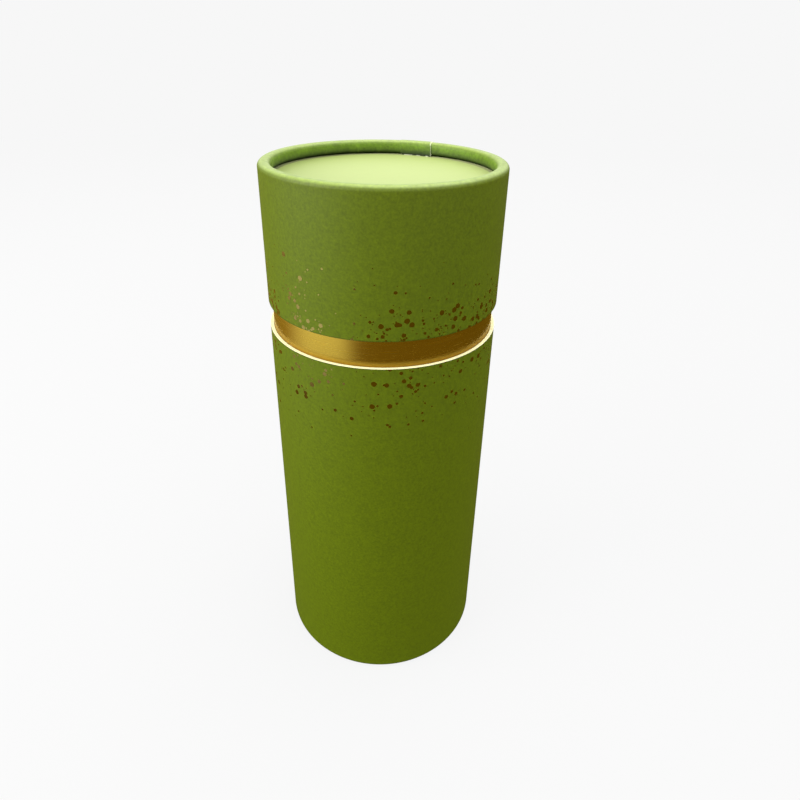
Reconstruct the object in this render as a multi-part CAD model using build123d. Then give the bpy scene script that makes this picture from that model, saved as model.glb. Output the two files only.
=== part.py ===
from build123d import *
import math
import os

# A round rigid gift tube: a wrapped board body with a foil-covered neck, and a lid that lifts off the neck.
# Millimetres, +Z up. The origin is the middle of the foot, on the table, with the lid closed.
# The body and the lid are cut from the same stock, a board wall with a printed paper wrap glued round it.
# One end of each is rolled inwards into a rim that holds an end disc. The other end is a plain cut edge.

# Overall sizes
tube_diameter = 83.0  # outside of the body and the lid, over the wrap
body_height = 146.2  # from the table to the body's cut edge
neck_reveal = 9.7  # gold band that shows under the closed lid
lid_height = 47.5  # from the lid's cut edge to the crown of its rolled rim

# Paper and board
wrap_thickness = 0.15  # printed paper round the body and the lid
board_thickness = 1.05  # wound board of the body and the lid
neck_board_thickness = 1.2  # wound board of the neck
foil_thickness = 0.15  # gold foil paper round the neck
lining_thickness = 0.15  # white paper inside the neck and on the discs
cover_thickness = 0.15  # printed paper on the outside of each disc
disc_thickness = 2.0  # end discs

# Rolled rims
curl_core_radius = 0.45  # hollow left inside the roll
crown_land = 1.0  # flat along the crown, where the rolling tool presses
inner_drop = 1.65  # straight part of the roll, on the side of the disc
tip_turn = 110.0  # degrees that the tip turns under, towards the wall

# Seams, with angles in degrees from +X
wrap_lap = 12.5  # width of the glued overlap of a wrap, along the wall
lid_seam_angle = 64.0  # where the lid's overlap starts
body_seam_angle = 118.0  # where the body's overlap starts
lap_tip_turn = 45.0  # degrees of the curl's tip that the lid's overlap still follows
foil_seam_angle = 100.0  # where the foil's two ends meet
foil_seam_gap = 0.35  # open width between those ends

# Neck
foil_tuck = 15.0  # foil below the body's cut edge, between the walls
foil_turn_in = 10.0  # foil turned over the neck's edge and down inside

# Fits
slip_clearance = 0.15  # between the neck and the lid, all round
lid_stop_clearance = 0.3  # between the neck's edge and the lid's disc, with the lid closed
disc_clearance = 0.05  # glue line between a disc's edge and the wall
roll_seat_clearance = 0.05  # between the underside of a roll and the disc's cover
floor_clearance = 0.05  # between the floor lining and the neck's lining
foil_glue_line = 0.05  # glue between the foil and the neck's board

# Turns, in degrees
quarter_turn = 90.0
half_turn = 180.0
full_turn = 360.0

# Walls and rolled rims, worked out from the sizes above
tube_radius = tube_diameter / 2
wall_thickness = wrap_thickness + board_thickness
wall_inner_radius = tube_radius - wall_thickness
roll_radius = curl_core_radius + wall_thickness
disc_recess = 2 * roll_radius + inner_drop
closed_height = body_height + neck_reveal + lid_height
lap_turn = math.degrees(wrap_lap / tube_radius)

# End discs, with depths counted from the crown of the rim
disc_radius = wall_inner_radius - disc_clearance
cover_recess = disc_recess + roll_seat_clearance
board_recess = cover_recess + cover_thickness
inner_face_recess = board_recess + disc_thickness

# Neck
neck_radius = wall_inner_radius - slip_clearance
foil_inner_radius = neck_radius - foil_thickness
neck_board_radius = foil_inner_radius - foil_glue_line
neck_board_inner_radius = neck_board_radius - neck_board_thickness
neck_inner_radius = neck_board_inner_radius - lining_thickness
neck_bottom = inner_face_recess
neck_top = closed_height - inner_face_recess - lining_thickness - lid_stop_clearance
neck_board_top = neck_top - foil_thickness - foil_glue_line
fold_bottom = neck_top - foil_turn_in


def surface_line(depth, wall_length, turn):
    """One surface of a wall and its roll, at a depth under the outside of the wrap.

    It runs from the cut edge round the roll to the tip, with the crown down at height zero.
    """
    radius = roll_radius - depth
    bend = (tube_radius - roll_radius, roll_radius)
    far_bend = (bend[0] - crown_land, roll_radius)
    tip = (far_bend[0], roll_radius + inner_drop)
    wall = Line((tube_radius - depth, wall_length), (tube_radius - depth, roll_radius))
    outer_bend = CenterArc(bend, radius, 0, -quarter_turn)
    crown = Line((bend[0], depth), (far_bend[0], depth))
    inner_bend = CenterArc(far_bend, radius, -quarter_turn, -quarter_turn)
    side = Line((far_bend[0] - radius, roll_radius), (far_bend[0] - radius, tip[1]))
    curl_tip = CenterArc(tip, radius, half_turn, -turn)
    return [wall, outer_bend, crown, inner_bend, side, curl_tip]


def rolled_layer(outer_depth, inner_depth, wall_length, turn):
    """Section of one layer of a wall and its roll, between two depths under the outside of the wrap."""
    outer = surface_line(outer_depth, wall_length, turn)
    inner = surface_line(inner_depth, wall_length, turn)
    cut_edge = Line(outer[0] @ 0, inner[0] @ 0)
    tip_edge = Line(outer[-1] @ 1, inner[-1] @ 1)
    return Plane.XZ * make_face([*outer, *inner, cut_edge, tip_edge])


def section_through(points):
    """Closed section in the plane of the axis, from points of radius and height."""
    return Plane.XZ * make_face(Polyline(*points, close=True))


def band_section(inner_radius, outer_radius, low, high):
    """Section of a plain band between two radii and two heights."""
    corners = [(inner_radius, low), (outer_radius, low), (outer_radius, high), (inner_radius, high)]
    return section_through(corners)


def ring(inner_radius, outer_radius, low, high):
    """Plain ring round the axis."""
    return revolve(band_section(inner_radius, outer_radius, low, high), Axis.Z)


def disc(radius, low, thickness):
    """Plain disc on the axis."""
    return Pos(0, 0, low) * Cylinder(radius, thickness, align=(Align.CENTER, Align.CENTER, Align.MIN))


def as_lid(piece):
    """Turns a piece that was made crown down into its place on the closed lid, crown up."""
    return Pos(0, 0, closed_height) * mirror(piece, about=Plane.XY)


def rolled_board(wall_length):
    """Wound board wall with one rolled rim, crown down at height zero."""
    return revolve(rolled_layer(wrap_thickness, wall_thickness, wall_length, tip_turn), Axis.Z)


def rolled_wrap(wall_length):
    """Printed paper that follows the board round its roll to the tip."""
    return revolve(rolled_layer(0, wrap_thickness, wall_length, tip_turn), Axis.Z)


def body_lap():
    """Overlap of the body's wrap, which is pressed flat where the foot starts to roll."""
    section = band_section(tube_radius, tube_radius + wrap_thickness, roll_radius, body_height)
    return Rot(0, 0, body_seam_angle) * revolve(section, Axis.Z, revolution_arc=lap_turn)


def lid_lap():
    """Overlap of the lid's wrap, which runs over the rolled rim and down towards the disc."""
    section = rolled_layer(-wrap_thickness, 0, lid_height, lap_tip_turn)
    return Rot(0, 0, lid_seam_angle) * revolve(section, Axis.Z, revolution_arc=lap_turn)


def neck_foil():
    """Gold foil paper round the neck, turned over its edge and down inside, with its ends butted behind."""
    foil_bottom = body_height - foil_tuck
    under_edge = neck_top - foil_thickness
    fold_outer_radius = neck_board_inner_radius - foil_glue_line
    fold_inner_radius = fold_outer_radius - foil_thickness
    outline = [
        (foil_inner_radius, foil_bottom),
        (neck_radius, foil_bottom),
        (neck_radius, neck_top),
        (fold_inner_radius, neck_top),
        (fold_inner_radius, fold_bottom),
        (fold_outer_radius, fold_bottom),
        (fold_outer_radius, under_edge),
        (foil_inner_radius, under_edge),
    ]
    sleeve_turn = full_turn - math.degrees(foil_seam_gap / neck_radius)
    return Rot(0, 0, foil_seam_angle) * revolve(section_through(outline), Axis.Z, revolution_arc=sleeve_turn)


def base_pieces():
    """Everything that stays on the table: the wrapped body, its foot and the neck."""
    return {
        "body_tube": rolled_board(body_height),
        "body_wrap": rolled_wrap(body_height) + body_lap(),
        "bottom_disc_cover": disc(disc_radius, cover_recess, cover_thickness),
        "bottom_disc": disc(disc_radius, board_recess, disc_thickness),
        "floor_lining": disc(neck_inner_radius - floor_clearance, neck_bottom, lining_thickness),
        "neck_tube": ring(neck_board_inner_radius, neck_board_radius, neck_bottom, neck_board_top),
        "neck_lining": ring(neck_inner_radius, neck_board_inner_radius, neck_bottom, fold_bottom),
        "neck_foil": neck_foil(),
    }


def lid_pieces():
    """Everything that lifts off with the lid."""
    return {
        "lid_tube": as_lid(rolled_board(lid_height)),
        "lid_wrap": as_lid(rolled_wrap(lid_height) + lid_lap()),
        "lid_disc_cover": as_lid(disc(disc_radius, cover_recess, cover_thickness)),
        "lid_disc": as_lid(disc(disc_radius, board_recess, disc_thickness)),
        "lid_disc_lining": as_lid(disc(disc_radius, inner_face_recess, lining_thickness)),
    }


def main():
    os.makedirs("parts", exist_ok=True)
    pieces = {**base_pieces(), **lid_pieces()}
    for name, shape in pieces.items():
        export_step(shape, f"parts/{name}.step")


main()
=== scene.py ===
import math

import bpy
from mathutils import Matrix, Vector


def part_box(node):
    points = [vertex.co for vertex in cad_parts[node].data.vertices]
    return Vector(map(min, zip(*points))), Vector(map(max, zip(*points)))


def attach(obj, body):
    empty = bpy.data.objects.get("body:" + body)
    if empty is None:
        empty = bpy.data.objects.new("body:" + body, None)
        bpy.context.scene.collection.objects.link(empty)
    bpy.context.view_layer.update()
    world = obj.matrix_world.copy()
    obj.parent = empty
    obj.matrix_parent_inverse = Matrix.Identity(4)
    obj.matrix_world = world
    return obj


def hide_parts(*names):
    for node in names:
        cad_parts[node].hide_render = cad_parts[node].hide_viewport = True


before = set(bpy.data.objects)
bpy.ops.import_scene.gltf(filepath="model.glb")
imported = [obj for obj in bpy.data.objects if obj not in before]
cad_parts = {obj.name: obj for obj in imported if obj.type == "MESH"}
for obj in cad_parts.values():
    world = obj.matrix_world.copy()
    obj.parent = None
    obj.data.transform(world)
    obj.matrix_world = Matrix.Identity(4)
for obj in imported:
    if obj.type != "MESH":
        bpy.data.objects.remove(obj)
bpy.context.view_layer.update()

# A round gift tube of wound board: a body and a lid in printed green paper, with a gold foil neck between.
# Every round piece is turned from a section by one node tree. A second tree scatters the copper foil dots.
# Metres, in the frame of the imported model.

MM = 0.001
FULL_TURN = 2 * math.pi
HALF_TURN = math.pi
QUARTER_TURN = math.pi / 2


def from_srgb(red, green, blue):
    """Linear colour from 8-bit display values."""
    shares = [value / 255 for value in (red, green, blue)]
    linear = [s / 12.92 if s <= 0.04045 else ((s + 0.055) / 1.055) ** 2.4 for s in shares]
    return (*linear, 1.0)


# Camera, fitted to the photograph
CAMERA_PLACE = (6.66 * MM, -206.91 * MM, 240.21 * MM)
CAMERA_PITCH = 0.4844  # radians below the horizon
CAMERA_ROLL = 0.0212  # radians
CAMERA_SENSOR = 36.0
CAMERA_LENS = 27.10
CAMERA_SHIFT_Y = -0.0619  # the photograph's centre lies below the lens axis

# Sizes of the tube, from the frame
BODY_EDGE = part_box("body_wrap")[1].z
LID_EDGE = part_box("lid_wrap")[0].z
WRAP_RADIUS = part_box("body_wrap")[1].x
WRAP_THICKNESS = WRAP_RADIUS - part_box("body_tube")[1].x
LID_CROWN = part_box("lid_tube")[1].z + WRAP_THICKNESS
FOIL_LOWEST, FOIL_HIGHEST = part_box("neck_foil")

# Walls and rolled rims, as they were built
BOARD_THICKNESS = 1.05 * MM
ROLL_RADIUS = 1.65 * MM
CROWN_LAND = 1.0 * MM
INNER_DROP = 1.65 * MM
ROLL_DEPTH = 2 * ROLL_RADIUS + INNER_DROP
TIP_TURN = math.radians(110)
LAP_TIP_TURN = math.radians(45)  # how far round the curl's tip the lid's overlap goes
SHEET_THICKNESS = 0.15 * MM  # foil, linings and disc covers
FOIL_FOLD = 10.0 * MM  # foil turned down inside the neck
FOIL_FOLD_WALL = 1.6 * MM  # from the foil's outside to the inside of its fold
FOLD_SOFTNESS = 0.3 * MM  # rounding of the foil over the neck's edge
CUT_SOFTNESS = 0.04 * MM  # rounding of a cut edge

# Seams, with angles from +X
LAP_WIDTH = 12.5 * MM
LAP_TURN = LAP_WIDTH / WRAP_RADIUS
LAP_RAMP = 0.12  # soft end of an overlap, as a share of it
LAP_SIZES = {"Lap Turn": LAP_TURN, "Lap Ramp": LAP_TURN * LAP_RAMP, "Lap Rise": WRAP_THICKNESS}
LID_LAP_START = math.radians(64)
BODY_LAP_START = math.radians(118)
FOIL_JOINT = math.radians(100)
FOIL_JOINT_REACH = 0.3 * MM  # from the middle of the joint
SEAM_SLANT = -0.6 * MM  # how far the seam moves along the rim where it's rolled in

# Creases on the rolled rims, with the sizes of their bends and hollows in pitches
CREASE_HEIGHT = 0.12 * MM
CREASE_PITCH = 5.0 * MM
CREASE_ONSET = 1.5  # the higher, the further round the roll they start
CREASE_STRETCH = 0.6  # below 1, the creases run down the roll and not along it
CREASE_BEND = 1.4  # how far they are bent out of their way
BEND_SIZE = 1.5
FOLD_SHARPNESS = 0.09  # how far from its middle value the noise still makes a fold
FOLDS_COME_IN = (0.5, 0.68)  # depth of the soft hollows between which folds come in
HOLLOW_SIZE = 1.7
HOLLOW_SHARE = 0.6  # depth of the soft hollows, as a share of the folds' height

# Copper foil dots
DOT_HEIGHT = 0.02 * MM
DOT_DEPTH = 0.02 * MM  # how far a dot is pressed into the paper
DOT_SIDES = 14
DOT_WOBBLE = 0.25 * MM  # how far a dot's outline strays from round
DOT_WOBBLE_SIZE = 1.0 * MM
DOT_RARITY = 3.2  # the higher, the rarer the large dots
DOT_THINNING = 3.2  # the higher, the sooner they thin out
DOT_CLOUDS = (0.3, 0.7, 0.15, 1.6)  # two levels of the cloud noise, and how thick the dots lie at each
STRIP_POINTS = (240, 48)  # round the wall, and away from the edge
PAPER_RADIUS = WRAP_RADIUS - DOT_HEIGHT
ROLL_INSIDE = PAPER_RADIUS - 2 * ROLL_RADIUS - CROWN_LAND

# Fineness of the meshes
WELD = 0.002 * MM  # points nearer than this are one
SHARP_TURN = math.radians(40)
SEGMENTS = 720
LID_WRAP_SEGMENTS = 1080
HIDDEN_SEGMENTS = 360
WALL_ROWS = 10
WALL_GATHERING = 3  # the higher, the closer a wall's rows stand to its roll
HIDDEN_ROWS = 3
WRAP_BEND_ROWS = 14
BOARD_BEND_ROWS = 6
FOLD_ROWS = 6
BAND_CORNER_ROWS = 4
DISC_CORNER_ROWS = 3
DISC_RINGS = 8

# Colours
WRAP_GREEN = from_srgb(91, 109, 0)
# Painted light: the wrap's green, paler where the paper turns round the roll's inside and catches more light.
ROLLED_GREEN = from_srgb(100, 130, 26)
# A painted highlight on the roll's crown, also mixed in along the folds.
CROWN_GREEN = from_srgb(136, 158, 60)
# Painted shade: in the roll, along a wrap's cut edge, beside the rolled-in seam, and on the disc beside the
# roll.
SHADE_GREEN = from_srgb(24, 38, 0)
# Lighter than the wrap: partly the cover's own print, partly painted light for its top face.
COVER_GREEN = from_srgb(117, 139, 38)
PAPER_CORE = from_srgb(240, 240, 214)
LINING_WHITE = from_srgb(232, 230, 222)
BOARD_CREAM = from_srgb(232, 229, 184)
# Glue, and also the painted shade on the foil beside the body's cut edge.
GLUE_AND_SHADE_BROWN = from_srgb(168, 150, 118)
GOLD = from_srgb(230, 197, 82)
COPPER = from_srgb(190, 175, 106)
WHITE = (1.0, 1.0, 1.0, 1.0)
BLACK = (0.0, 0.0, 0.0, 1.0)

# Grain of paper and board
PLAIN_PAPER = {"Fibre Size": 0.5 * MM, "Cloud Size": 3.0 * MM}
WRAP_PAPER = {"Fibre Size": 0.7 * MM, "Cloud Size": 1.4 * MM, "Contrast": 0.5}
CRUMPLED_PAPER = {"Fibre Size": 1.0 * MM, "Cloud Size": 3.5 * MM, "Contrast": 0.8}
BOARD_PULP = {"Fibre Size": 0.35 * MM, "Cloud Size": 2.5 * MM, "Contrast": 0.16}
CORE_CONTRAST = 0.1
LINING_CONTRAST = 0.06
COVER_CONTRAST = 0.16
PAPER_ROUGHNESS = 0.55
BOARD_ROUGHNESS = 0.8
COAT_ROUGHNESS = 0.4
PAPER_BUMP = 0.015 * MM
WRAP_BUMP = 0.02 * MM
BOARD_BUMP = 0.03 * MM

# Looks of the printed paper
WRAP_SPECULAR = 0.4
CROWN_HIGHLIGHT_REACH = 0.9 * MM  # how far from the crown's height the painted highlight reaches
EDGE_SHADE = 0.5 * MM  # how far from the cut edge the painted shade reaches
EDGE_STRENGTH = 0.6
PATCH_SIZE = 2.5 * MM
PATCHES = (0.2, 0.8, 0.7, 1.0)  # two levels of the patch noise, and the mask's strength at each
ROLL_SHADE_FROM = 0.7 * ROLL_RADIUS  # below the crown, where the painted shade in the roll starts
FOLD_PALENESS = 0.2
FRAY_SIZE = 1.6 * MM
FRAY = (0.45, 0.6)  # noise between which the end of the overlap is frayed
SEAM_LINE_REACH = 0.4 * MM
SEAM_RAG_SIZE = 0.7 * MM
SEAM_RAGS = (0.3, 0.7)  # noise between which the line goes from narrow to wide
SEAM_OFF_CROWN = 0.3  # strength of the white line away from the crown's painted highlight
SEAM_SHADE_REACH = 0.8 * MM  # painted shadow on the low side of the seam, where it's rolled in
SEAM_SHADE = 0.8
COVER_SHADE = 0.9 * MM  # width of the painted shadow beside the roll, on the disc
COVER_SHEEN = {"Sheen Weight": 0.76, "Sheen Roughness": 0.4, "Sheen Tint": (0.92, 1.0, 0.46, 1.0)}

# Looks of the board, with its glue lines in shares of a ply
PLY_THICKNESS = 0.35 * MM
GLUE_LINE_AT = 0.62
GLUE_LINE_REACH = 0.16
GLUE_LINE_SHADE = 0.3
WINDING_PITCH = 95.0 * MM
BUTT_REACH = 0.006  # turns, on each side of the line where the winding butts
BUTT_SHADE = 0.35

# Looks of the foils
FOIL_LINE_LENGTH = 14.0 * MM
FOIL_LINE_SQUEEZE = 14.0  # how many times longer than high a line is
FOIL_TONE = 0.1
FOIL_ROUGHNESS = 0.2
FOIL_LINE_ROUGHNESS = 0.12
FOIL_BUMP = 0.0012 * MM
JOINT_RAGGEDNESS = 0.2
SHADE_AND_DULL_REACH = 2.6 * MM  # how far up the foil is dulled and darkened by painted shade, from the body's cut edge
PAINTED_FOIL_SHADE = 0.9
DULL_ROUGHNESS = 0.4
COPPER_GRAIN = 0.25 * MM
COPPER_LEVEL = 0.95
COPPER_TONE = 0.5
COPPER_ROUGHNESS = 0.05
COPPER_GRAIN_ROUGHNESS = 0.08
COPPER_BUMP = 0.0015 * MM

# Floor and backdrop
PALE = 0.93  # the backdrop's level, as the camera and reflections see it
SKY_LEVEL = 1.0  # what the studio gives from all round
FLOOR_REACH = 30.0
FLOOR_GREY = (0.05, 0.05, 0.05, 1.0)  # with the glow below, it matches the backdrop
FLOOR_GLOW = 0.847
FLOOR_FADE = (0.5, 1.6)  # distance over which the floor turns into the backdrop

# The table and the room that the tube is lit and mirrored by, with distances from the tube
TABLE_BROWN = (0.064, 0.041, 0.002, 1.0)
TABLE_PALE = (0.28, 0.277, 0.25, 1.0)
TABLE_SHADE = (0.12, 0.082, 0.012, 1.0)
PALE_FROM = (18.0, 42.0)  # degrees left of the front between which the table turns pale
PALE_TO = (70.0, 114.0)  # degrees between which it turns darker again
PALE_BEYOND = (0.23, 0.33)  # distance over which it turns pale
ROOM_BROWN = (0.42, 0.24, 0.03, 1.0)
BROWN_ASIDE = (0.55, 0.9)  # how far sideways a direction points before it meets brown
BROWN_UP_TO = (0.1, 0.5)  # how high it may point
BROWN_BEHIND = (0.1, 0.6)  # on the left, how far back it has to point
BROWN_FRONT = (0.0, 0.6)  # in front, how far forward it has to point
BROWN_RIGHT = (-0.7, -0.2)  # in front, how far right it has to point

# Lamps, with azimuths in degrees from the front to the left
WINDOW = {"level": 1.0, "size": 0.7, "distance": 0.9, "azimuth": 68.0, "elevation": 26.0}
TOP_LIGHT = {"level": 0.95, "softness": 80.0, "azimuth": -90.0, "elevation": 73.0}


# Node helpers

def fill_input(tree, socket, value):
    """Links a socket to another node's output, or sets its value."""
    if isinstance(value, bpy.types.NodeSocket):
        tree.links.new(value, socket)
    else:
        socket.default_value = value


def fill_inputs(tree, node, inputs):
    """Fills several inputs of a node."""
    for name, value in inputs.items():
        fill_input(tree, node.inputs[name], value)


def add_node(tree, kind, inputs=None, **settings):
    """A node with its settings and its inputs filled."""
    node = tree.nodes.new(kind)
    for name, value in settings.items():
        setattr(node, name, value)
    fill_inputs(tree, node, inputs or {})
    return node


def worked(tree, kind, geometry, inputs=None, **settings):
    """The geometry after one more node."""
    inputs = {"Geometry": geometry, **(inputs or {})}
    return add_node(tree, kind, inputs, **settings).outputs["Geometry"]


def sum_of(tree, operation, *values):
    """The result of one sum."""
    return add_node(tree, "ShaderNodeMath", dict(enumerate(values)), operation=operation).outputs[0]


def times(tree, first, second):
    """The product of two values."""
    return sum_of(tree, "MULTIPLY", first, second)


def less(tree, first, second):
    """The first value less the second."""
    return sum_of(tree, "SUBTRACT", first, second)


def scaled(tree, value, factor, shift):
    """The value times the factor, with the shift added."""
    return sum_of(tree, "MULTIPLY_ADD", value, factor, shift)


def eased(tree, value, low, high, at_low=0.0, at_high=1.0):
    """Eases from at_low to at_high as the value goes from low to high."""
    ends = {"Value": value, "From Min": low, "From Max": high, "To Min": at_low, "To Max": at_high}
    return add_node(tree, "ShaderNodeMapRange", ends, interpolation_type="SMOOTHSTEP").outputs["Result"]


def vector_of(tree, x, y, z):
    """A vector from three values."""
    return add_node(tree, "ShaderNodeCombineXYZ", {"X": x, "Y": y, "Z": z}).outputs["Vector"]


def parts_of(tree, vector):
    """The three values of a vector."""
    return add_node(tree, "ShaderNodeSeparateXYZ", {"Vector": vector}).outputs


def moved_by(tree, vector, shift):
    """A vector with another added."""
    return add_node(tree, "ShaderNodeVectorMath", {0: vector, 1: shift}, operation="ADD").outputs["Vector"]


def length_of(tree, vector):
    """The length of a vector."""
    return add_node(tree, "ShaderNodeVectorMath", {0: vector}, operation="LENGTH").outputs["Value"]


def round_axis(tree, radius, angle, height):
    """A place, from its radius, angle and height."""
    x, y = (times(tree, radius, sum_of(tree, way, angle)) for way in ("COSINE", "SINE"))
    return vector_of(tree, x, y, height)


def noise(tree, position, size, detail=2.0, roughness=0.5):
    """Noise from 0 to 1 with marks of about that size."""
    scale = sum_of(tree, "DIVIDE", 1.0, size)
    values = {"Vector": position, "Scale": scale, "Detail": detail, "Roughness": roughness}
    return add_node(tree, "ShaderNodeTexNoise", values).outputs[0]


def mixed(tree, share, first, second, mode="MIX"):
    """Second colour over the first, by a share from 0 to 1."""
    node = add_node(tree, "ShaderNodeMix", data_type="RGBA", blend_type=mode)
    sockets = {socket.name: socket for socket in node.inputs if socket.enabled}
    fill_input(tree, sockets["Factor"], share)
    fill_input(tree, sockets["A"], first)
    fill_input(tree, sockets["B"], second)
    return next(socket for socket in node.outputs if socket.enabled)


def floats(*names):
    """Sockets for numbers, by their names."""
    return dict.fromkeys(names, "Float")


def new_group(name, kind, inputs, outputs):
    """An empty node group with named sockets, as (tree, its given values, its results)."""
    tree = bpy.data.node_groups.new(name, kind)
    for side, sockets in {"INPUT": inputs, "OUTPUT": outputs}.items():
        for label, value_type in sockets.items():
            tree.interface.new_socket(label, in_out=side, socket_type="NodeSocket" + value_type)
    return tree, tree.nodes.new("NodeGroupInput").outputs, tree.nodes.new("NodeGroupOutput").inputs


def place_group(tree, group, inputs):
    """A node group's outputs, placed with its inputs filled."""
    kind = "ShaderNodeGroup" if group.bl_idname == "ShaderNodeTree" else "GeometryNodeGroup"
    return add_node(tree, kind, inputs, node_tree=group).outputs


# Geometry trees

def overlap_tree():
    """Height of a glued overlap: a step where it starts, and a soft ramp where the sheet under it ends."""
    inputs = floats("Past Start", *LAP_SIZES)
    tree, given, made = new_group("overlap height", "GeometryNodeTree", inputs, floats("Rise"))
    end = sum_of(tree, "ADD", given["Lap Turn"], given["Lap Ramp"])
    share = eased(tree, given["Past Start"], given["Lap Turn"], end, 1.0, 0.0)
    fill_input(tree, made["Rise"], times(tree, share, given["Lap Rise"]))
    return tree


def crease_tree():
    """Creases in paper that is drawn in round a curl: thin sharp folds that come and go, and soft hollows."""
    inputs = {"Position": "Vector", **floats("Pitch", "Seed")}
    tree, given, made = new_group("creases", "GeometryNodeTree", inputs, floats("Fold", "Hollow"))
    spot = moved_by(tree, given["Position"], vector_of(tree, given["Seed"], given["Seed"], given["Seed"]))
    bend = noise(tree, spot, times(tree, given["Pitch"], BEND_SIZE), detail=1.0)
    bend = times(tree, times(tree, bend, given["Pitch"]), CREASE_BEND)
    bent = moved_by(tree, spot, vector_of(tree, bend, bend, 0.0))
    winding = noise(tree, bent, given["Pitch"], detail=1.0, roughness=0.3)
    off_fold = sum_of(tree, "ABSOLUTE", less(tree, winding, 0.5))
    fold = eased(tree, off_fold, 0.0, FOLD_SHARPNESS, 1.0, 0.0)
    hollow = noise(tree, spot, times(tree, given["Pitch"], HOLLOW_SIZE))
    fill_input(tree, made["Fold"], times(tree, fold, eased(tree, hollow, *FOLDS_COME_IN)))
    fill_input(tree, made["Hollow"], hollow)
    return tree


def named_value(tree, name, kind):
    """A value that the geometry carries under a name."""
    node = add_node(tree, "GeometryNodeInputNamedAttribute", {"Name": name}, data_type=kind)
    return node.outputs["Attribute"]


def carried(tree, section, name, at_row):
    """A value that the section's points carry, read at a row."""
    inputs = {"Geometry": section, "Value": named_value(tree, name, "FLOAT_VECTOR"), "Index": at_row}
    node = add_node(tree, "GeometryNodeSampleIndex", inputs, data_type="FLOAT_VECTOR")
    return parts_of(tree, node.outputs["Value"])


def stored(tree, geometry, name, kind, domain, value):
    """The geometry with a value stored on it."""
    inputs = {"Name": name, "Value": value}
    return worked(tree, "GeometryNodeStoreNamedAttribute", geometry, inputs, data_type=kind, domain=domain)


def lap_rise(tree, overlap, given, past):
    """Height of the overlap at an angle past its start."""
    sizes = {name: given[name] for name in LAP_SIZES}
    return place_group(tree, overlap, {"Past Start": past, **sizes})["Rise"]


def lathe_tree(overlap, creases):
    """Turns a section round the axis, with an overlap and creases where the section's points ask for them.

    Each column of a grid is one angle, and each row one point of the section. Two more columns close the
    turn: one at the height of the surface under the overlap, and one on top of it, so that the step is a
    real face.
    """
    inputs = {
        "Section": "Geometry", "Segments": "Int", "Finish": "Material", "Cut Edge": "Material",
        **floats("Start", *LAP_SIZES, "Crease Height", "Seed"),
    }
    tree, given, made = new_group("lathe", "GeometryNodeTree", inputs, {"Piece": "Geometry"})
    section = given["Section"]
    size = add_node(tree, "GeometryNodeAttributeDomainSize", {"Geometry": section}, component="MESH")
    columns = sum_of(tree, "ADD", given["Segments"], 2)
    counts = {"Vertices X": size.outputs["Point Count"], "Vertices Y": columns}
    grid = add_node(tree, "GeometryNodeMeshGrid", counts).outputs["Mesh"]

    index = add_node(tree, "GeometryNodeInputIndex").outputs["Index"]
    middle = sum_of(tree, "ADD", index, 0.5)
    at_row = sum_of(tree, "FLOOR", sum_of(tree, "DIVIDE", middle, columns))
    column = less(tree, index, times(tree, at_row, columns))
    share = sum_of(tree, "MINIMUM", column, given["Segments"])
    past = times(tree, sum_of(tree, "DIVIDE", share, given["Segments"]), FULL_TURN)
    on_top = sum_of(tree, "GREATER_THAN", column, sum_of(tree, "ADD", given["Segments"], 0.5))
    at_step = sum_of(tree, "GREATER_THAN", column, less(tree, given["Segments"], 0.5))

    place = carried(tree, section, "place", at_row)
    outward = carried(tree, section, "outward", at_row)
    shares = carried(tree, section, "shares", at_row)
    slant = times(tree, shares["Y"], SEAM_SLANT / PAPER_RADIUS)
    angle = sum_of(tree, "ADD", sum_of(tree, "ADD", past, slant), given["Start"])

    past_lap = times(tree, past, less(tree, 1.0, on_top))
    lifted = times(tree, lap_rise(tree, overlap, given, past_lap), shares["X"])
    down = times(tree, sum_of(tree, "ADD", place["X"], place["Z"]), CREASE_STRETCH)
    spot = round_axis(tree, PAPER_RADIUS, angle, down)
    folds = {"Position": spot, "Pitch": CREASE_PITCH, "Seed": given["Seed"]}
    folds = place_group(tree, creases, folds)
    fold = times(tree, folds["Fold"], shares["Y"])
    hollow = times(tree, folds["Hollow"], shares["Y"])
    raised = scaled(tree, hollow, -HOLLOW_SHARE, fold)
    shift = scaled(tree, raised, given["Crease Height"], lifted)
    radius = scaled(tree, outward["X"], shift, place["X"])
    height = scaled(tree, outward["Z"], shift, place["Z"])
    spot = {"Position": round_axis(tree, radius, angle, height)}
    piece = worked(tree, "GeometryNodeSetPosition", grid, spot)

    cut = sum_of(tree, "MAXIMUM", shares["Z"], times(tree, at_step, shares["X"]))
    left = less(tree, FULL_TURN, past)
    below = times(tree, left, PAPER_RADIUS)
    to_seam = times(tree, sum_of(tree, "MINIMUM", past, left), PAPER_RADIUS)
    for name, value in {"cut": cut, "to_seam": to_seam, "below_seam": below}.items():
        piece = stored(tree, piece, name, "FLOAT", "POINT", value)
    hanging = sum_of(tree, "GREATER_THAN", lifted, times(tree, given["Lap Rise"], 2.0))
    strip_end = times(tree, shares["Z"], hanging)
    paper = vector_of(tree, fold, shares["Y"], strip_end)
    piece = stored(tree, piece, "paper", "FLOAT_VECTOR", "POINT", paper)
    whole = sum_of(tree, "GREATER_THAN", named_value(tree, "cut", "FLOAT"), 0.99)
    piece = stored(tree, piece, "cut_face", "BOOLEAN", "FACE", whole)
    piece = worked(tree, "GeometryNodeMergeByDistance", piece, {"Distance": WELD})
    piece = worked(tree, "GeometryNodeSetShadeSmooth", piece)
    piece = worked(tree, "GeometryNodeRealizeInstances", piece)
    piece = worked(tree, "GeometryNodeSetMaterial", piece, {"Material": given["Finish"]})
    edge = {"Selection": named_value(tree, "cut_face", "BOOLEAN"), "Material": given["Cut Edge"]}
    fill_input(tree, made["Piece"], worked(tree, "GeometryNodeSetMaterial", piece, edge))
    return tree


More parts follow.
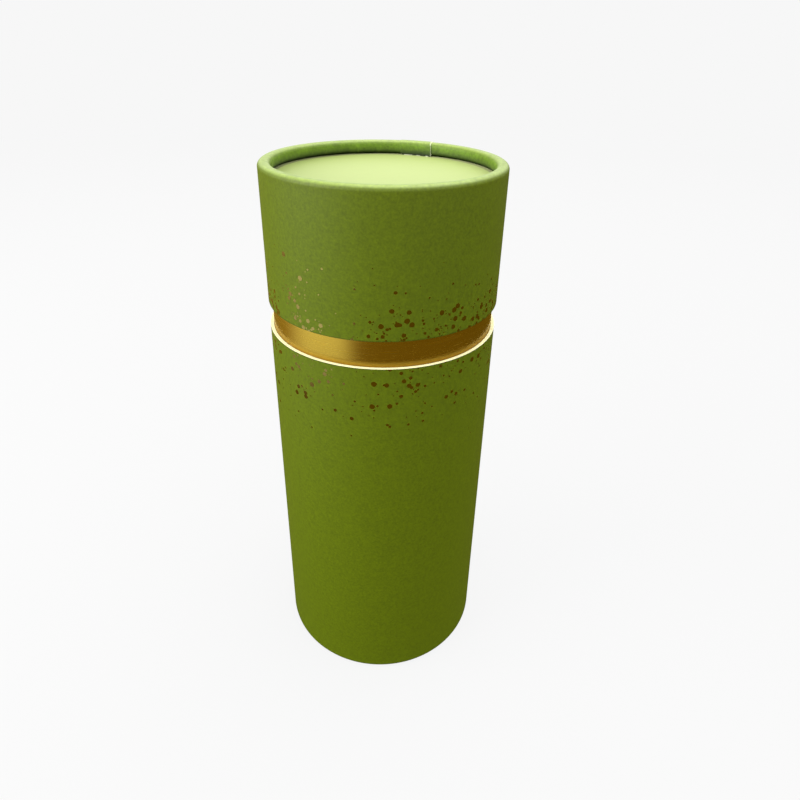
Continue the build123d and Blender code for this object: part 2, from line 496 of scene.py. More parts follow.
def dots_tree(overlap):
    """Foil dots on a wall: thick along the cut edge, thinning away from it in uneven clouds.

    They are scattered on a flat strip, one turn long, which is then laid round the wall and over its overlap.
    """
    inputs = {
        "Flat": "Geometry", "Seed": "Int", "Finish": "Material",
        **floats("Radius", "Edge", "Away", "Reach", "Density", "Smallest", "Largest", "Cloud Size"),
        **floats("Lap Start", *LAP_SIZES, "Dot Height", "Dot Depth"),
    }
    tree, given, made = new_group("foil dots", "GeometryNodeTree", inputs, {"Dots": "Geometry"})
    length = times(tree, given["Radius"], FULL_TURN)
    around, away = STRIP_POINTS
    sizes = {"Size X": length, "Size Y": given["Reach"], "Vertices X": around, "Vertices Y": away}
    strip = add_node(tree, "GeometryNodeMeshGrid", sizes).outputs["Mesh"]
    half = vector_of(tree, 0.0, times(tree, given["Reach"], 0.5), 0.0)
    strip = worked(tree, "GeometryNodeTransform", strip, {"Translation": half})

    flat = parts_of(tree, add_node(tree, "GeometryNodeInputPosition").outputs["Position"])
    angle = sum_of(tree, "DIVIDE", flat["X"], given["Radius"])
    left = less(tree, 1.0, sum_of(tree, "DIVIDE", flat["Y"], given["Reach"]))
    thinning = sum_of(tree, "POWER", sum_of(tree, "MAXIMUM", left, 0.0), DOT_THINNING)
    spot = round_axis(tree, given["Radius"], angle, flat["Y"])
    cloud = noise(tree, spot, given["Cloud Size"], detail=1.0)
    cloud = eased(tree, cloud, *DOT_CLOUDS)
    density = times(tree, times(tree, thinning, cloud), given["Density"])
    scatter = {"Mesh": strip, "Density": density, "Seed": given["Seed"]}
    points = add_node(tree, "GeometryNodeDistributePointsOnFaces", scatter).outputs["Points"]

    chance = add_node(tree, "FunctionNodeRandomValue", {"Seed": given["Seed"]}, data_type="FLOAT")
    chance = next(socket for socket in chance.outputs if socket.enabled)
    spread = less(tree, given["Largest"], given["Smallest"])
    width = scaled(tree, sum_of(tree, "POWER", chance, DOT_RARITY), spread, given["Smallest"])
    thickness = sum_of(tree, "ADD", given["Dot Height"], given["Dot Depth"])
    shape = {"Vertices": DOT_SIDES, "Radius": 0.5, "Depth": 1.0}
    dot = add_node(tree, "GeometryNodeMeshCylinder", shape, fill_type="TRIANGLE_FAN").outputs["Mesh"]
    laid = {"Points": points, "Instance": dot, "Scale": vector_of(tree, width, width, thickness)}
    dots = add_node(tree, "GeometryNodeInstanceOnPoints", laid).outputs["Instances"]
    dots = worked(tree, "GeometryNodeRealizeInstances", dots)

    place = parts_of(tree, add_node(tree, "GeometryNodeInputPosition").outputs["Position"])
    marks = {"Scale": 1 / DOT_WOBBLE_SIZE, "Detail": 1.0}
    wobble = parts_of(tree, add_node(tree, "ShaderNodeTexNoise", marks).outputs["Color"])
    sideways = times(tree, less(tree, wobble["X"], 0.5), DOT_WOBBLE)
    upways = times(tree, less(tree, wobble["Y"], 0.5), DOT_WOBBLE)
    angle = sum_of(tree, "DIVIDE", sum_of(tree, "ADD", place["X"], sideways), given["Radius"])
    away = sum_of(tree, "MAXIMUM", sum_of(tree, "ADD", place["Y"], upways), 0.0)
    past = sum_of(tree, "FLOORED_MODULO", less(tree, angle, given["Lap Start"]), FULL_TURN)
    lap = lap_rise(tree, overlap, given, past)
    sunk = less(tree, times(tree, thickness, 0.5), given["Dot Depth"])
    lift = sum_of(tree, "ADD", sum_of(tree, "ADD", place["Z"], sunk), lap)
    radius = sum_of(tree, "ADD", given["Radius"], lift)
    height = scaled(tree, away, given["Away"], given["Edge"])
    spot = {"Position": round_axis(tree, radius, angle, height)}
    dots = worked(tree, "GeometryNodeSetPosition", dots, spot)
    dots = worked(tree, "GeometryNodeRealizeInstances", dots)
    dots = worked(tree, "GeometryNodeSetMaterial", dots, {"Material": given["Finish"]})
    fill_input(tree, made["Dots"], dots)
    return tree


def new_object(name, data):
    """An object, linked into the scene."""
    made = bpy.data.objects.new(name, data)
    bpy.context.scene.collection.objects.link(made)
    return made


def made_by(tree, name, source, inputs):
    """A piece that a node tree makes from a source mesh, turned to a plain mesh with the modifier removed."""
    piece = new_object(name, source)
    modifier = piece.modifiers.new(tree.name, "NODES")
    modifier.node_group = tree
    for socket in tree.interface.items_tree:
        if socket.in_out == "INPUT" and socket.name in inputs:
            modifier[socket.identifier] = inputs[socket.name]
    graph = bpy.context.evaluated_depsgraph_get()
    plain = bpy.data.meshes.new_from_object(piece.evaluated_get(graph))
    plain.name = name
    piece.modifiers.clear()
    piece.data = plain
    plain.set_sharp_from_angle(angle=SHARP_TURN)
    return piece


# Sections, as rows of (place, outward, shares), each pair as (radius, height)

def row(place, outward, lap=0.0, crease=0.0, cut=0.0):
    """One point of a section. Its shares say how far the overlap and creases move it, and if it is cut."""
    return {"place": place, "outward": outward, "shares": (lap, crease, cut)}


def clockwise(rows):
    """The rows in the order that makes the turned faces point outwards."""
    places = [r["place"] for r in rows]
    area = sum(a[0] * b[1] - b[0] * a[1] for a, b in zip(places, places[1:] + places[:1]))
    return rows if area < 0 else rows[::-1]


def section_mesh(name, rows):
    """A mesh of loose points that carries a section's rows."""
    mesh = bpy.data.meshes.new(name)
    values = {
        "place": [(r["place"][0], 0, r["place"][1]) for r in rows],
        "outward": [(r["outward"][0], 0, r["outward"][1]) for r in rows],
        "shares": [r["shares"] for r in rows],
    }
    mesh.from_pydata(values["place"], [], [])
    for label, vectors in values.items():
        attribute = mesh.attributes.new(label, "FLOAT_VECTOR", "POINT")
        attribute.data.foreach_set("vector", [number for vector in vectors for number in vector])
    return mesh


def arc(centre, radius, start, turn, count):
    """Points along an arc, as (place, outward)."""
    points = []
    for step in range(count + 1):
        angle = start + turn * step / count
        outward = (math.cos(angle), math.sin(angle))
        points.append(((centre[0] + radius * outward[0], centre[1] + radius * outward[1]), outward))
    return points


def rolled_surface(depth, wall_length, wall_rows, bend_rows, lap_wall_only):
    """Rows along a wall and its roll, at a depth under the outside of the wrap, crown down at zero."""
    radius = ROLL_RADIUS - depth
    bend = (PAPER_RADIUS - ROLL_RADIUS, ROLL_RADIUS)
    far_bend = (bend[0] - CROWN_LAND, ROLL_RADIUS)
    tip = (far_bend[0], ROLL_RADIUS + INNER_DROP)
    tip_rows = bend_rows // 2
    rows = []
    for step in range(wall_rows + 1):
        left = (1 - step / wall_rows) ** WALL_GATHERING
        height = ROLL_RADIUS + (wall_length - ROLL_RADIUS) * left
        rows.append(row((PAPER_RADIUS - depth, height), (1, 0), lap=1.0))
    on_roll = 0.0 if lap_wall_only else 1.0
    for place, outward in arc(bend, radius, 0, -QUARTER_TURN, bend_rows)[1:]:
        rows.append(row(place, outward, lap=on_roll))
    inner = arc(far_bend, radius, -QUARTER_TURN, -QUARTER_TURN, bend_rows)
    for step, (place, outward) in enumerate(inner):
        rows.append(row(place, outward, lap=on_roll, crease=(step / bend_rows) ** CREASE_ONSET))
    under_lap = arc(tip, radius, HALF_TURN, -LAP_TIP_TURN, tip_rows)
    for step, (place, outward) in enumerate(under_lap):
        straight_down = 1 / abs(outward[0]) - 1
        lap = on_roll * (1 + straight_down * radius / WRAP_THICKNESS)
        rows.append(row(place, outward, lap=lap, crease=1.0, cut=float(step == tip_rows)))
    past_lap = arc(tip, radius, HALF_TURN - LAP_TIP_TURN, LAP_TIP_TURN - TIP_TURN, tip_rows)
    for step, (place, outward) in enumerate(past_lap):
        rows.append(row(place, outward, crease=1.0 - step / bend_rows, cut=float(step == 0)))
    return rows


def rolled_section(outer_depth, inner_depth, wall_length, bend_rows, lap_wall_only=False):
    """Closed section of one layer of a wall and its roll, crown down at height zero."""
    outer = rolled_surface(outer_depth, wall_length, WALL_ROWS, bend_rows, lap_wall_only)
    inner = rolled_surface(inner_depth, wall_length, HIDDEN_ROWS, HIDDEN_ROWS * 2, lap_wall_only)
    inner = [row(r["place"], r["outward"]) for r in inner]
    ends = []
    for end in (outer[-1], inner[-1], inner[0], outer[0]):
        ends.append(row(end["place"], end["outward"], lap=end["shares"][0], cut=1.0))
    return clockwise(outer + ends[:2] + inner[::-1] + ends[2:] + outer[:1])


def crown_up(rows):
    """A section made crown down, in its place on the lid."""
    turned_over = []
    for r in rows:
        (radius, height), (out, up) = r["place"], r["outward"]
        turned_over.append({**r, "place": (radius, LID_CROWN - height), "outward": (out, -up)})
    return clockwise(turned_over)


def band_section(inner_radius, outer_radius, low, high, softness):
    """Closed section of a plain band with softened corners."""
    corners = [
        ((outer_radius - softness, high - softness), QUARTER_TURN),
        ((outer_radius - softness, low + softness), 0.0),
        ((inner_radius + softness, low + softness), -QUARTER_TURN),
        ((inner_radius + softness, high - softness), -HALF_TURN),
    ]
    rows = []
    for centre, start in corners:
        rows += [row(*point) for point in arc(centre, softness, start, -QUARTER_TURN, BAND_CORNER_ROWS)]
    return clockwise(rows + rows[:1])


def disc_section(radius, low, high, softness):
    """Section of a plain disc, from the axis round its edge and back."""
    rings = [radius * step / DISC_RINGS for step in range(DISC_RINGS)]
    rows = [row((ring, high), (0, 1)) for ring in rings]
    edge = radius - softness
    for centre, start in (((edge, high - softness), QUARTER_TURN), ((edge, low + softness), 0.0)):
        rows += [row(*point) for point in arc(centre, softness, start, -QUARTER_TURN, DISC_CORNER_ROWS)]
    rows += [row((ring, low), (0, -1)) for ring in rings[::-1]]
    return rows


def foil_section():
    """Section of the foil: up the neck, over its edge and down inside, at one thickness."""
    outside = FOIL_HIGHEST.x
    inside = outside - FOIL_FOLD_WALL
    high = FOIL_HIGHEST.z
    corner = high - FOLD_SOFTNESS
    rows = [row((outside, FOIL_LOWEST.z), (1, 0))]
    bends = {outside - FOLD_SOFTNESS: 0.0, inside + FOLD_SOFTNESS: QUARTER_TURN}
    for middle, start in bends.items():
        bend = arc((middle, corner), FOLD_SOFTNESS, start, QUARTER_TURN, FOLD_ROWS)
        rows += [row(*point) for point in bend]
    rows.append(row((inside, high - FOIL_FOLD), (-1, 0)))
    under = []
    for r in rows[::-1]:
        (radius, height), (out, up) = r["place"], r["outward"]
        under.append(row((radius - out * SHEET_THICKNESS, height - up * SHEET_THICKNESS), (out, up)))
    return clockwise(rows + under + rows[:1])


# Finishes

def grain_group():
    """Paper or board seen close: fibres, and soft clouds in the pulp."""
    inputs = {"Position": "Vector", **floats("Fibre Size", "Cloud Size", "Contrast")}
    tree, given, made = new_group("paper grain", "ShaderNodeTree", inputs, floats("Tone", "Height"))
    fibre = noise(tree, given["Position"], given["Fibre Size"], detail=3.0, roughness=0.6)
    cloud = noise(tree, given["Position"], given["Cloud Size"])
    both = sum_of(tree, "ADD", fibre, cloud)
    centred = less(tree, both, 1.0)
    fill_input(tree, made["Tone"], scaled(tree, centred, given["Contrast"], 1.0))
    fill_input(tree, made["Height"], both)
    return tree


def light_band_group():
    """Uneven mask of the paper near a height, for the painted highlight on a crown and the painted shade
    along a cut edge.
    """
    inputs = {"Position": "Vector", **floats("At Height", "Reach")}
    tree, given, made = new_group("painted light band", "ShaderNodeTree", inputs, floats("Mask"))
    height = parts_of(tree, given["Position"])["Z"]
    off = sum_of(tree, "ABSOLUTE", less(tree, height, given["At Height"]))
    near = eased(tree, off, 0.0, given["Reach"], 1.0, 0.0)
    patch = noise(tree, given["Position"], PATCH_SIZE, detail=3.0, roughness=0.6)
    uneven = eased(tree, patch, *PATCHES)
    fill_input(tree, made["Mask"], times(tree, near, uneven))
    return tree


def new_finish(name, roughness):
    """A material, its tree, its shader and the position on the object."""
    material = bpy.data.materials.new(name)
    material.use_nodes = True
    tree = material.node_tree
    shader = tree.nodes["Principled BSDF"]
    shader.inputs["Roughness"].default_value = roughness
    position = add_node(tree, "ShaderNodeTexCoord").outputs["Object"]
    return material, tree, shader, position


def bump(tree, shader, height, depth):
    """Raises the surface of a shader by a height from 0 to 1."""
    node = add_node(tree, "ShaderNodeBump", {"Height": height, "Strength": 1.0, "Distance": depth})
    fill_input(tree, shader.inputs["Normal"], node.outputs["Normal"])


def tinted(tree, colour, tone):
    """The colour, lighter and darker by the tone."""
    return mixed(tree, 1.0, colour, vector_of(tree, tone, tone, tone), "MULTIPLY")


def toned(tree, value, contrast, level=1.0):
    """A tone round a level, from noise round a half."""
    return scaled(tree, less(tree, value, 0.5), contrast, level)


def off_axis(tree, position):
    """Distance from the tube's axis."""
    place = parts_of(tree, position)
    return length_of(tree, vector_of(tree, place["X"], place["Y"], 0.0))


def paper_finish(name, ink, grain, contrast):
    """Plain paper."""
    material, tree, shader, position = new_finish(name, PAPER_ROUGHNESS)
    pulp = place_group(tree, grain, {"Position": position, **PLAIN_PAPER, "Contrast": contrast})
    fill_input(tree, shader.inputs["Base Color"], tinted(tree, ink, pulp["Tone"]))
    bump(tree, shader, pulp["Height"], PAPER_BUMP)
    return material


def cover_finish(grain):
    """Printed paper of the end discs, with a soft shine at a low angle and a painted shadow under the roll.
    """
    material, tree, shader, position = new_finish("printed_cover", PAPER_ROUGHNESS)
    fill_inputs(tree, shader, {**COVER_SHEEN, "Coat Roughness": COAT_ROUGHNESS})
    pulp = place_group(tree, grain, {"Position": position, **PLAIN_PAPER, "Contrast": COVER_CONTRAST})
    # painted shadow on the disc beside the roll, with its coat taken off there
    roll_shadow = eased(tree, off_axis(tree, position), ROLL_INSIDE - COVER_SHADE, ROLL_INSIDE)
    colour = tinted(tree, mixed(tree, roll_shadow, COVER_GREEN, SHADE_GREEN), pulp["Tone"])
    fill_inputs(tree, shader, {"Base Color": colour, "Coat Weight": less(tree, 1.0, roll_shadow)})
    bump(tree, shader, pulp["Height"], PAPER_BUMP)
    return material


def seam_mask(tree, position, reach, raggedness=0.75):
    """Mask of the line along the seam, where a sheet's turn round the tube starts."""
    to_seam = add_node(tree, "ShaderNodeAttribute", attribute_name="to_seam").outputs["Fac"]
    ragged = noise(tree, position, SEAM_RAG_SIZE, detail=3.0, roughness=0.7)
    reach = times(tree, eased(tree, ragged, *SEAM_RAGS, 1.0 - raggedness, 1.0), reach)
    return eased(tree, to_seam, 0.0, reach, 1.0, 0.0)


def wrap_finish(name, grain, light_band, crown, cut_edge):
    """Printed wrap: a painted highlight on its roll's crown and painted light on the paper round the roll's
    inside, paler along its folds and at its seam, and painted shade in the depth of the roll, along its cut
    edge and beside the seam.
    """
    material, tree, shader, position = new_finish(name, PAPER_ROUGHNESS)
    fill_inputs(tree, shader, {"Specular IOR Level": WRAP_SPECULAR, "Coat Roughness": COAT_ROUGHNESS})
    pulp = place_group(tree, grain, {"Position": position, **WRAP_PAPER})
    crumpled = place_group(tree, grain, {"Position": position, **CRUMPLED_PAPER})
    near_crown = {"Position": position, "At Height": crown, "Reach": CROWN_HIGHLIGHT_REACH}
    near_edge = {"Position": position, "At Height": cut_edge, "Reach": EDGE_SHADE}
    # drawn: mask of the painted highlight on the roll's crown
    drawn = place_group(tree, light_band, near_crown)["Mask"]
    # edge: mask of the painted shade along the cut edge
    edge = place_group(tree, light_band, near_edge)["Mask"]
    paper = add_node(tree, "ShaderNodeAttribute", attribute_name="paper").outputs["Vector"]
    fold, drawn_in, strip_end = list(parts_of(tree, paper))
    below = sum_of(tree, "ABSOLUTE", less(tree, parts_of(tree, position)["Z"], crown))
    # deep: mask of the painted shade in the depth of the roll
    deep = times(tree, eased(tree, below, ROLL_SHADE_FROM, ROLL_DEPTH), drawn_in)

    # painted light where the paper turns round the roll's inside
    colour = mixed(tree, drawn_in, WRAP_GREEN, ROLLED_GREEN)
    # painted highlight on the roll's crown
    colour = mixed(tree, drawn, colour, CROWN_GREEN)
    colour = mixed(tree, deep, colour, SHADE_GREEN)
    # painted shade along the cut edge
    colour = mixed(tree, times(tree, edge, EDGE_STRENGTH), colour, SHADE_GREEN)
    colour = mixed(tree, times(tree, fold, FOLD_PALENESS), colour, CROWN_GREEN)
    colour = mixed(tree, drawn_in, colour, tinted(tree, colour, crumpled["Tone"]))
    seam = scaled(tree, drawn, 1.0 - SEAM_OFF_CROWN, SEAM_OFF_CROWN)
    seam = times(tree, seam_mask(tree, position, SEAM_LINE_REACH), seam)
    bits = eased(tree, noise(tree, position, FRAY_SIZE), *FRAY)
    white = sum_of(tree, "MAXIMUM", seam, times(tree, strip_end, bits))
    colour = mixed(tree, white, colour, PAPER_CORE)
    # painted shadow on the low side of the seam, where it's rolled in
    below_seam = add_node(tree, "ShaderNodeAttribute", attribute_name="below_seam").outputs["Fac"]
    shade = eased(tree, below_seam, 0.0, SEAM_SHADE_REACH, SEAM_SHADE, 0.0)
    colour = mixed(tree, times(tree, shade, drawn_in), colour, SHADE_GREEN)
    fill_inputs(tree, shader, {"Base Color": tinted(tree, colour, pulp["Tone"]), "Coat Weight": drawn})
    height = scaled(tree, crumpled["Height"], drawn_in, pulp["Height"])
    bump(tree, shader, height, WRAP_BUMP)
    return material


def board_finish(name, grain):
    """Wound board: glue lines between its plies on a cut edge, and the winding's butt line on its faces."""
    material, tree, shader, position = new_finish(name, BOARD_ROUGHNESS)
    pulp = place_group(tree, grain, {"Position": position, **BOARD_PULP})
    depth = less(tree, WRAP_RADIUS, off_axis(tree, position))
    ply = sum_of(tree, "FRACT", sum_of(tree, "DIVIDE", depth, PLY_THICKNESS))
    off_line = sum_of(tree, "ABSOLUTE", less(tree, ply, GLUE_LINE_AT))
    glue = eased(tree, off_line, 0.0, GLUE_LINE_REACH, GLUE_LINE_SHADE, 0.0)
    place = parts_of(tree, position)
    turn = sum_of(tree, "DIVIDE", sum_of(tree, "ARCTAN2", place["Y"], place["X"]), FULL_TURN)
    climb = sum_of(tree, "ADD", sum_of(tree, "DIVIDE", place["Z"], WINDING_PITCH), turn)
    butt = sum_of(tree, "ABSOLUTE", less(tree, sum_of(tree, "FRACT", climb), 0.5))
    shade = sum_of(tree, "MAXIMUM", glue, eased(tree, butt, 0.0, BUTT_REACH, BUTT_SHADE, 0.0))
    colour = mixed(tree, shade, BOARD_CREAM, GLUE_AND_SHADE_BROWN)
    fill_input(tree, shader.inputs["Base Color"], tinted(tree, colour, pulp["Tone"]))
    bump(tree, shader, less(tree, pulp["Height"], shade), BOARD_BUMP)
    return material


def gold_finish():
    """Satin gold foil, duller and darkened by painted shade beside the body's cut edge, with faint lines and
    the joint of its ends.
    """
    material, tree, shader, position = new_finish("gold_foil", FOIL_ROUGHNESS)
    place = parts_of(tree, position)
    height = times(tree, place["Z"], FOIL_LINE_SQUEEZE)
    spot = vector_of(tree, place["X"], place["Y"], height)
    lines = noise(tree, spot, FOIL_LINE_LENGTH, detail=3.0)
    joint = seam_mask(tree, position, FOIL_JOINT_REACH, JOINT_RAGGEDNESS)
    # painted shade on the foil beside the body's cut edge, where it is also rougher
    shade_and_dull = eased(tree, place["Z"], BODY_EDGE, BODY_EDGE + SHADE_AND_DULL_REACH, PAINTED_FOIL_SHADE, 0.0)
    colour = tinted(tree, GOLD, toned(tree, lines, FOIL_TONE))
    colour = mixed(tree, shade_and_dull, colour, GLUE_AND_SHADE_BROWN, "MULTIPLY")
    colour = mixed(tree, joint, colour, GLUE_AND_SHADE_BROWN)
    rough = scaled(tree, lines, FOIL_LINE_ROUGHNESS, FOIL_ROUGHNESS)
    rough = scaled(tree, shade_and_dull, DULL_ROUGHNESS, rough)
    fill_inputs(tree, shader, {"Base Color": colour, "Metallic": less(tree, 1.0, joint), "Roughness": rough})
    bump(tree, shader, lines, FOIL_BUMP)
    return material


def copper_finish():
    """Copper foil stamped on the paper, with the paper's grain showing through."""
    material, tree, shader, position = new_finish("copper_foil", COPPER_ROUGHNESS)
    grain = noise(tree, position, COPPER_GRAIN)
    colour = tinted(tree, COPPER, toned(tree, grain, COPPER_TONE, COPPER_LEVEL))
    rough = scaled(tree, grain, COPPER_GRAIN_ROUGHNESS, COPPER_ROUGHNESS)
    fill_inputs(tree, shader, {"Base Color": colour, "Metallic": 1.0, "Roughness": rough})
    bump(tree, shader, grain, COPPER_BUMP)
    return material


def make_finishes():
    """Every finish by its name, built from two shared effects."""
    grain = grain_group()
    light_band = light_band_group()
    return {
        "lid_wrap": wrap_finish("lid_wrap", grain, light_band, LID_CROWN, LID_EDGE),
        "body_wrap": wrap_finish("body_wrap", grain, light_band, 0.0, BODY_EDGE),
        "paper_core": paper_finish("paper_core", PAPER_CORE, grain, CORE_CONTRAST),
        "cover": cover_finish(grain),
        "lining": paper_finish("lining_paper", LINING_WHITE, grain, LINING_CONTRAST),
        "board": board_finish("wound_board", grain),
        "gold_foil": gold_finish(),
        "copper_foil": copper_finish(),
    }


# The tube's pieces

def turned(name, body, replaced, slot, rows, finish, cut_edge=None, segments=SEGMENTS, **seam):
    """A round piece turned from its section, which rides on a body and stands for a node."""
    inputs = {"Segments": segments, "Finish": finish, "Cut Edge": cut_edge or finish, **seam}
    piece = made_by(LATHE, name, section_mesh(name, rows), inputs)
    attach(piece, body)
    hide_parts(replaced)


def make_wraps(finishes):
    """The printed paper of the body and the lid."""
    sheet = {"outer_depth": 0.0, "inner_depth": WRAP_THICKNESS, "bend_rows": WRAP_BEND_ROWS}
    body = rolled_section(wall_length=BODY_EDGE, lap_wall_only=True, **sheet)
    lid = crown_up(rolled_section(wall_length=LID_CROWN - LID_EDGE, **sheet))
    shared = {**LAP_SIZES, "Crease Height": CREASE_HEIGHT}
    edge = finishes["paper_core"]
    turned("body_wrap_paper", "base", "body_wrap", "printed_wrap", body, finishes["body_wrap"], edge,
           **{**shared, "Start": BODY_LAP_START, "Seed": 0.31})
    turned("lid_wrap_paper", "lid", "lid_wrap", "printed_wrap", lid, finishes["lid_wrap"], edge,
           LID_WRAP_SEGMENTS, **{**shared, "Start": LID_LAP_START, "Seed": 0.77})


def make_boards(finishes):
    """The wound board walls of the body and the lid."""
    inner_depth = WRAP_THICKNESS + BOARD_THICKNESS
    wall = {"outer_depth": WRAP_THICKNESS, "inner_depth": inner_depth, "bend_rows": BOARD_BEND_ROWS}
    body = rolled_section(wall_length=BODY_EDGE, **wall)
    lid = crown_up(rolled_section(wall_length=LID_CROWN - LID_EDGE, **wall))
    board = finishes["board"]
    turned("body_board", "base", "body_tube", "board", body, board, segments=HIDDEN_SEGMENTS)
    turned("lid_board", "lid", "lid_tube", "board", lid, board, segments=HIDDEN_SEGMENTS)


def make_neck(finishes):
    """The neck's foil and its lining."""
    turned("neck_foil_sleeve", "base", "neck_foil", "gold_foil", foil_section(), finishes["gold_foil"],
           Start=FOIL_JOINT)
    low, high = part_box("neck_lining")
    band = band_section(high.x - SHEET_THICKNESS, high.x, low.z, high.z, CUT_SOFTNESS)
    turned("neck_lining_paper", "base", "neck_lining", "lining_paper", band, finishes["lining"],
           segments=HIDDEN_SEGMENTS)


def make_discs(finishes):
    """The covers and linings of the two end discs."""
    discs = {
        "bottom_disc_paper": ("base", "bottom_disc_cover", "printed_cover", "cover"),
        "floor_lining_paper": ("base", "floor_lining", "lining_paper", "lining"),
        "lid_disc_paper": ("lid", "lid_disc_cover", "printed_cover", "cover"),
        "lid_lining_paper": ("lid", "lid_disc_lining", "lining_paper", "lining"),
    }
    for name, (body, node, slot, finish) in discs.items():
        low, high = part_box(node)
        rows = disc_section(high.x, low.z, high.z, CUT_SOFTNESS)
        turned(name, body, node, slot, rows, finishes[finish], segments=HIDDEN_SEGMENTS)


def make_dots(finishes):
    """The copper foil dots of the lid and the body, thick along their cut edges."""
    dots = {
        "lid_foil_dots": ("lid", {"Edge": LID_EDGE, "Away": 1.0, "Reach": 32.0 * MM, "Seed": 11,
                                  "Density": 4.5e5, "Lap Start": LID_LAP_START}),
        "body_foil_dots": ("base", {"Edge": BODY_EDGE, "Away": -1.0, "Reach": 48.0 * MM, "Seed": 23,
                                    "Density": 1.5e5, "Lap Start": BODY_LAP_START}),
    }
    shared = {"Radius": PAPER_RADIUS, "Smallest": 0.34 * MM, "Largest": 1.85 * MM, "Cloud Size": 18.0 * MM,
              "Dot Height": DOT_HEIGHT, "Dot Depth": DOT_DEPTH, "Finish": finishes["copper_foil"]}
    for name, (body, own) in dots.items():
        piece = made_by(DOTS, name, bpy.data.meshes.new(name), {**LAP_SIZES, **shared, **own})
        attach(piece, body)


def finish_hidden_boards(finishes):
    """The neck's board and the end discs keep their solids, with the board's finish."""
    for node in ("neck_tube", "bottom_disc", "lid_disc"):
        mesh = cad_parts[node].data
        mesh.materials.clear()
        mesh.materials.append(finishes["board"])


# The studio

def floor_finish():
    """Pale to the camera. The tube is lit by the table that its foil mirrors: brown, and pale on the left."""
    material, tree, shader, position = new_finish("floor", 1.0)
    fill_inputs(tree, shader, {"Specular IOR Level": 0.0, "Emission Color": WHITE})
    place = parts_of(tree, position)
    left = times(tree, place["X"], -1.0)
    front = times(tree, place["Y"], -1.0)
    turn = sum_of(tree, "DEGREES", sum_of(tree, "ARCTAN2", left, front))
    far = length_of(tree, position)
    path = add_node(tree, "ShaderNodeLightPath").outputs
    pale = times(tree, eased(tree, turn, *PALE_FROM), eased(tree, far, *PALE_BEYOND))
    pale = times(tree, pale, path["Is Glossy Ray"])
    beyond = mixed(tree, eased(tree, turn, *PALE_TO), TABLE_PALE, TABLE_SHADE)
    table = mixed(tree, pale, TABLE_BROWN, beyond)
    faded = eased(tree, far, *FLOOR_FADE)
    grey = mixed(tree, faded, FLOOR_GREY, BLACK)
    seen = path["Is Camera Ray"]
    colour = mixed(tree, seen, table, grey)
    glow = times(tree, seen, scaled(tree, faded, PALE - FLOOR_GLOW, FLOOR_GLOW))
    fill_inputs(tree, shader, {"Base Color": colour, "Emission Strength": glow})
    return material


def make_floor():
    """A floor that reaches past the view on all sides."""
    mesh = bpy.data.meshes.new("floor")
    corners = [(x * FLOOR_REACH, y * FLOOR_REACH, 0) for x, y in ((-1, -1), (1, -1), (1, 1), (-1, 1))]
    mesh.from_pydata(corners, [], [(0, 1, 2, 3)])
    mesh.materials.append(floor_finish())
    new_object("floor", mesh)


def towards(azimuth, elevation):
    """Direction from the tube to a lamp."""
    a = math.radians(azimuth)
    e = math.radians(elevation)
    return Vector((-math.sin(a) * math.cos(e), -math.cos(a) * math.cos(e), math.sin(e)))


def make_lamp(name, kind, direction, place):
    """A lamp at a place, which shines against its direction."""
    lamp = new_object(name, bpy.data.lights.new(name, kind))
    lamp.matrix_world = Matrix.Translation(place) @ direction.to_track_quat("Z", "Y").to_matrix().to_4x4()
    return lamp


def make_sun(name, level, softness, azimuth, elevation):
    """Soft sun. Its level is what it adds to a white face that looks at it."""
    lamp = make_lamp(name, "SUN", towards(azimuth, elevation), Vector())
    lamp.data.energy = level * math.pi
    lamp.data.angle = math.radians(softness)


def make_window(name, level, size, distance, azimuth, elevation):
    """Square lamp that looks at the lid. Being near, it gives the foot less than the lid."""
    direction = towards(azimuth, elevation)
    lid = Vector((0, 0, (LID_EDGE + LID_CROWN) / 2))
    lamp = make_lamp(name, "AREA", direction, lid + direction * distance)
    lamp.data.size = size
    lamp.data.energy = level * (math.pi * distance) ** 2


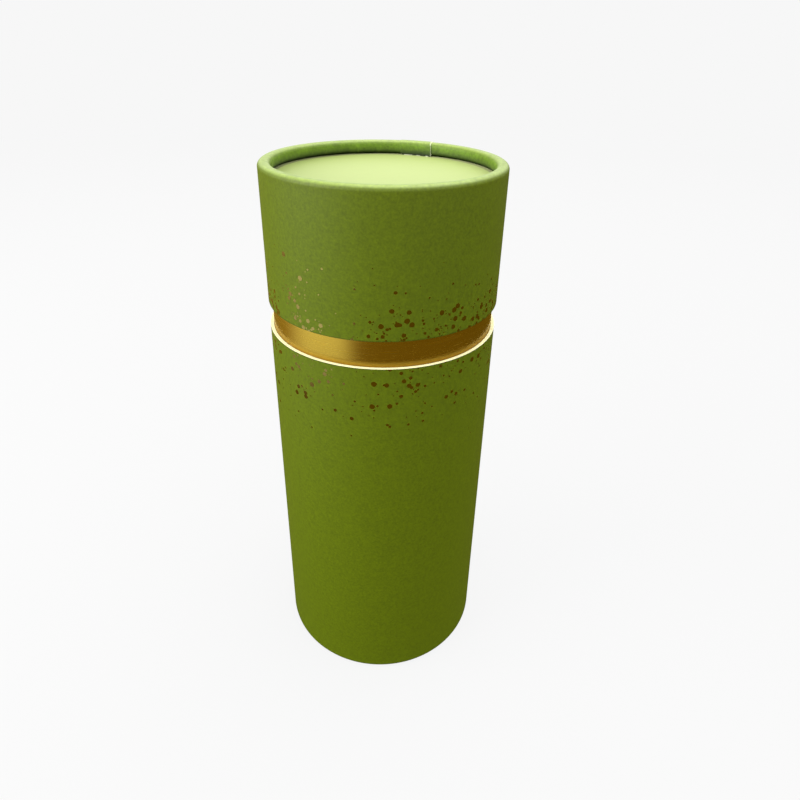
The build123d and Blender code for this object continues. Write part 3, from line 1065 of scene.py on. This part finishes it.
def make_world():
    """Even light. The camera sees a pale backdrop. Reflections see brown low down, but not on the left."""
    world = bpy.data.worlds.new("studio")
    world.use_nodes = True
    bpy.context.scene.world = world
    tree = world.node_tree
    tree.nodes.clear()
    path = add_node(tree, "ShaderNodeLightPath").outputs
    seen = sum_of(tree, "MAXIMUM", path["Is Camera Ray"], path["Is Glossy Ray"])
    level = scaled(tree, seen, PALE - SKY_LEVEL, SKY_LEVEL)
    towards_sky = parts_of(tree, add_node(tree, "ShaderNodeTexCoord").outputs["Generated"])
    aside = eased(tree, sum_of(tree, "ABSOLUTE", towards_sky["X"]), *BROWN_ASIDE)
    low = eased(tree, towards_sky["Z"], *BROWN_UP_TO, 1.0, 0.0)
    right = sum_of(tree, "GREATER_THAN", towards_sky["X"], 0.0)
    behind = eased(tree, towards_sky["Y"], *BROWN_BEHIND)
    sides = times(tree, aside, sum_of(tree, "MAXIMUM", right, behind))
    forward = eased(tree, times(tree, towards_sky["Y"], -1.0), *BROWN_FRONT)
    front = times(tree, forward, eased(tree, towards_sky["X"], *BROWN_RIGHT))
    brown = times(tree, low, sum_of(tree, "MAXIMUM", sides, front))
    brown = times(tree, brown, path["Is Glossy Ray"])
    colour = mixed(tree, brown, WHITE, ROOM_BROWN)
    sky = add_node(tree, "ShaderNodeBackground", {"Color": colour, "Strength": level})
    add_node(tree, "ShaderNodeOutputWorld", {"Surface": sky.outputs[0]})


def make_camera():
    """The photograph's camera."""
    camera = new_object("camera", bpy.data.cameras.new("camera"))
    camera.data.sensor_width = CAMERA_SENSOR
    camera.data.lens = CAMERA_LENS
    camera.data.shift_y = CAMERA_SHIFT_Y
    camera.data.clip_start = 10 * MM
    camera.data.clip_end = 100.0
    tilt = Matrix.Rotation(QUARTER_TURN - CAMERA_PITCH, 4, "X")
    roll = Matrix.Rotation(CAMERA_ROLL, 4, "Z")
    camera.matrix_world = Matrix.Translation(CAMERA_PLACE) @ tilt @ roll
    bpy.context.scene.camera = camera


def make_studio():
    """Camera, floor, backdrop and lamps."""
    bpy.context.scene.view_settings.view_transform = "Standard"
    make_camera()
    make_floor()
    make_world()
    make_window("left_window", **WINDOW)
    make_sun("top_light", **TOP_LIGHT)


OVERLAP = overlap_tree()
LATHE = lathe_tree(OVERLAP, crease_tree())
DOTS = dots_tree(OVERLAP)

make_studio()
finishes = make_finishes()
make_wraps(finishes)
make_boards(finishes)
make_neck(finishes)
make_discs(finishes)
make_dots(finishes)
finish_hidden_boards(finishes)
